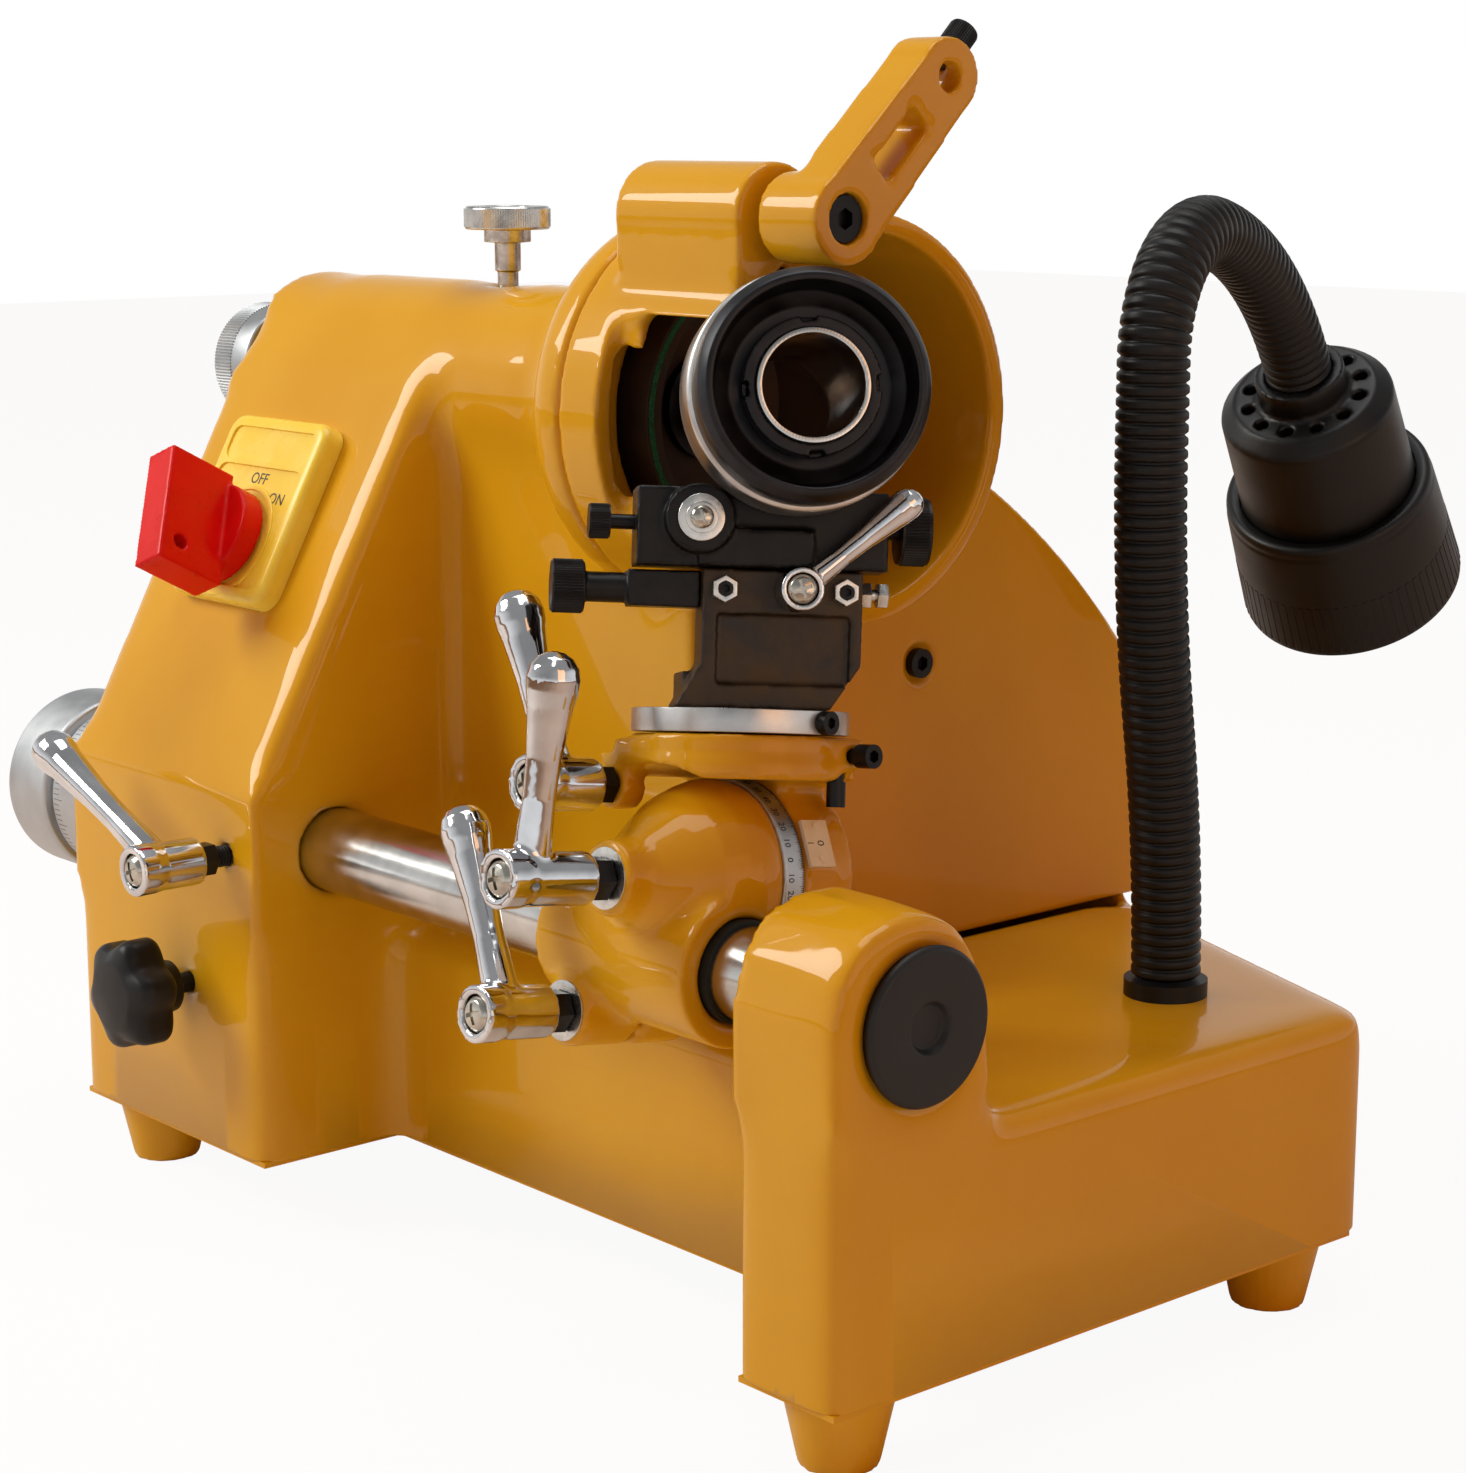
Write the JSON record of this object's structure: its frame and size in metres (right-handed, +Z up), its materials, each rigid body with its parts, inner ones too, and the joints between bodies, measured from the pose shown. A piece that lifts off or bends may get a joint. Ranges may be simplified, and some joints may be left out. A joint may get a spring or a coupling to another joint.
{
  "type": "tool and cutter grinder",
  "caption": "Bench tool and cutter grinder: cup wheel in a guard, tilting and swivelling dividing head on a guide bar, gooseneck work lamp.",
  "frame": {"origin": "on the bench between the four feet, midway along the base", "axes": "+X right along the guide bar towards the bar post, +Y back, +Z up"},
  "size_m": [0.509, 0.469, 0.4478],
  "materials": {
    "ochre_paint": "gloss",
    "dark_paint": "satin",
    "black_oxide": "satin",
    "chrome": "polished",
    "steel": "ground",
    "zinc": "plated",
    "black_plastic": "moulded",
    "yellow_plastic": "gloss",
    "red_plastic": "gloss",
    "rubber": "matte",
    "green_abrasive": "gritty",
    "motor_iron": "painted",
    "lamp_glass": "frosted",
    "white_metal": "etched"
  },
  "bodies": {
    "frame": {"main_casting": "ochre_paint", "bottom_plate": "ochre_paint", "feet": "ochre_paint", "rear_cover": "ochre_paint", "frame_screws": "black_oxide", "post_cap": "black_oxide", "switch_box": "yellow_plastic", "wheel_guard": "ochre_paint", "motor": "motor_iron", "drive_belt": "rubber", "lamp_gland": "black_plastic", "lamp_neck": "black_plastic", "lamp_head": "black_plastic", "lamp_shade": "black_plastic", "lamp_bulb": "lamp_glass", "dresser_screw": "black_oxide"},
    "switch": {"switch_knob": "red_plastic"},
    "dresser": {"dresser_arm": "ochre_paint", "dresser_set_screw": "black_oxide"},
    "thumb": {"thumb_screw": "chrome"},
    "sleeve": {"spindle_sleeve": "steel", "spindle_bearings": "steel"},
    "sleeve_handwheel": {"sleeve_knob": "steel"},
    "wheel": {"spindle_shaft": "steel", "grinding_wheel": "green_abrasive", "wheel_nut": "black_oxide", "spindle_pulley": "black_oxide"},
    "motor_shaft": {"motor_pulley": "black_oxide"},
    "bar": {"guide_bar": "steel"},
    "drum": {"feed_dial": "steel", "feed_drum": "chrome"},
    "bar_lock": {"bar_lock_lever": "chrome", "bar_lock_stud": "black_oxide"},
    "star": {"star_knob": "black_plastic"},
    "seals": {"rod_seals": "rubber"},
    "carriage": {"carriage": "ochre_paint", "tilt_dial": "steel"},
    "carriage_clamp": {"carriage_lever": "chrome", "carriage_lever_stud": "black_oxide"},
    "tilt": {"tilt_casting": "ochre_paint", "index_plate": "white_metal", "stop_screws": "black_oxide"},
    "tilt_clamp": {"tilt_lever": "chrome", "tilt_lever_stud": "black_oxide"},
    "swivel_clamp": {"swivel_lever": "chrome", "swivel_lever_stud": "black_oxide"},
    "head": {"turntable": "steel", "rim_screw": "black_oxide", "head_bracket": "dark_paint", "bracket_bolts": "zinc", "slide_block": "black_oxide", "pivot_screw": "zinc"},
    "head_clamp": {"head_lever": "chrome", "head_lever_screw": "zinc"},
    "block_screw": {"lock_knob": "black_oxide"},
    "side_screw": {"feed_knob": "black_oxide"},
    "plunger": {"index_plunger": "black_oxide"},
    "work_spindle": {"index_ring": "black_oxide", "ring_nut": "black_oxide", "collet_sleeve": "steel"}
  },
  "joints": [
    {"name": "switch_turn", "type": "hinge", "parent": "frame", "child": "switch", "pos_m": [-0.159, -0.11796, 0.25165], "axis": [0, -0.8805, 0.4741], "range_deg": [-60, 0]},
    {"name": "dresser_swing", "type": "hinge", "parent": "frame", "child": "dresser", "pos_m": [0.121, -0.075, 0.3835], "axis": [1, 0, 0], "range_deg": [-45, 60]},
    {"name": "thumb_turn", "type": "hinge", "parent": "frame", "child": "thumb", "pos_m": [-0.097, -0.037, 0.355], "axis": [0, 0, 1], "range_deg": [0, 90]},
    {"name": "sleeve_slide", "type": "slide", "parent": "frame", "child": "sleeve", "axis": [1, 0, 0], "range_m": [-0.002, 0.004]},
    {"name": "sleeve_feed", "type": "hinge", "parent": "frame", "child": "sleeve_handwheel", "pos_m": [-0.25, -0.037, 0.314], "axis": [1, 0, 0], "range_deg": [-720, 1440]},
    {"name": "wheel_spin", "type": "hinge", "parent": "sleeve", "child": "wheel", "pos_m": [0, -0.037, 0.314], "axis": [1, 0, 0], "continuous": true},
    {"name": "motor_spin", "type": "hinge", "parent": "frame", "child": "motor_shaft", "pos_m": [-0.11, 0.074, 0.172], "axis": [1, 0, 0], "continuous": true},
    {"name": "bar_slide", "type": "slide", "parent": "frame", "child": "bar", "axis": [1, 0, 0], "range_m": [-0.002, 0.002]},
    {"name": "drum_turn", "type": "hinge", "parent": "frame", "child": "drum", "pos_m": [-0.25, -0.126, 0.144], "axis": [1, 0, 0], "range_deg": [-720, 720]},
    {"name": "bar_lock_swing", "type": "hinge", "parent": "frame", "child": "bar_lock", "pos_m": [-0.111, -0.176, 0.144], "axis": [0, -1, 0], "range_deg": [-60, 40]},
    {"name": "star_turn", "type": "hinge", "parent": "frame", "child": "star", "pos_m": [-0.143, -0.163, 0.088], "axis": [0, -1, 0], "range_deg": [-90, 90]},
    {"name": "carriage_slide", "type": "slide", "parent": "bar", "child": "seals", "axis": [1, 0, 0], "range_m": [0, 0.025]},
    {"name": "carriage_turn", "type": "hinge", "parent": "seals", "child": "carriage", "pos_m": [0.102, -0.126, 0.144], "axis": [1, 0, 0], "range_deg": [0, 25]},
    {"name": "carriage_clamp_swing", "type": "hinge", "parent": "carriage", "child": "carriage_clamp", "pos_m": [0.084, -0.16327, 0.12548], "axis": [0, -0.9882, 0.153], "range_deg": [-10, 60]},
    {"name": "relief_tilt", "type": "hinge", "parent": "carriage", "child": "tilt", "pos_m": [0.111, -0.10233, 0.16614], "axis": [0, 0.9882, -0.153], "range_deg": [0, 30]},
    {"name": "tilt_clamp_swing", "type": "hinge", "parent": "carriage", "child": "tilt_clamp", "pos_m": [0.111, -0.16756, 0.17624], "axis": [0, -0.9882, 0.153], "range_deg": [-20, 15]},
    {"name": "swivel_clamp_swing", "type": "hinge", "parent": "tilt", "child": "swivel_clamp", "pos_m": [0.08518, -0.1437, 0.19964], "axis": [0, -0.9882, 0.153], "range_deg": [-2, 50]},
    {"name": "swivel_turn", "type": "hinge", "parent": "tilt", "child": "head", "pos_m": [0.1035, -0.09384, 0.22098], "axis": [-0.134, 0.1516, 0.9793], "range_deg": [-1, 20]},
    {"name": "head_clamp_swing", "type": "hinge", "parent": "head", "child": "head_clamp", "pos_m": [0.12713, -0.09077, 0.26336], "axis": [0.8196, -0.5385, 0.1955], "range_deg": [-60, 4]},
    {"name": "block_screw_turn", "type": "hinge", "parent": "head", "child": "block_screw", "pos_m": [0.08763, -0.12259, 0.28504], "axis": [0.557, 0.8289, -0.0521], "range_deg": [-90, 90]},
    {"name": "side_screw_turn", "type": "hinge", "parent": "head", "child": "side_screw", "pos_m": [0.13386, -0.05379, 0.28071], "axis": [0.557, 0.8289, -0.0521], "range_deg": [-90, 90]},
    {"name": "plunger_pull", "type": "slide", "parent": "head", "child": "plunger", "axis": [-0.557, -0.8289, 0.0521], "range_m": [0, 0.006], "stiffness_N_per_m": 300},
    {"name": "work_spin", "type": "hinge", "parent": "head", "child": "work_spindle", "pos_m": [0.09651, -0.06843, 0.32025], "axis": [0.8196, -0.5385, 0.1955], "continuous": true}
  ],
  "couplings": [
    {"joint": "sleeve_slide", "follows": "sleeve_feed", "m_per_rad": 0.00015915},
    {"joint": "bar_slide", "follows": "drum_turn", "m_per_rad": 0.00015915},
    {"joint": "wheel_spin", "follows": "motor_spin", "ratio": 1.6522}
  ]
}
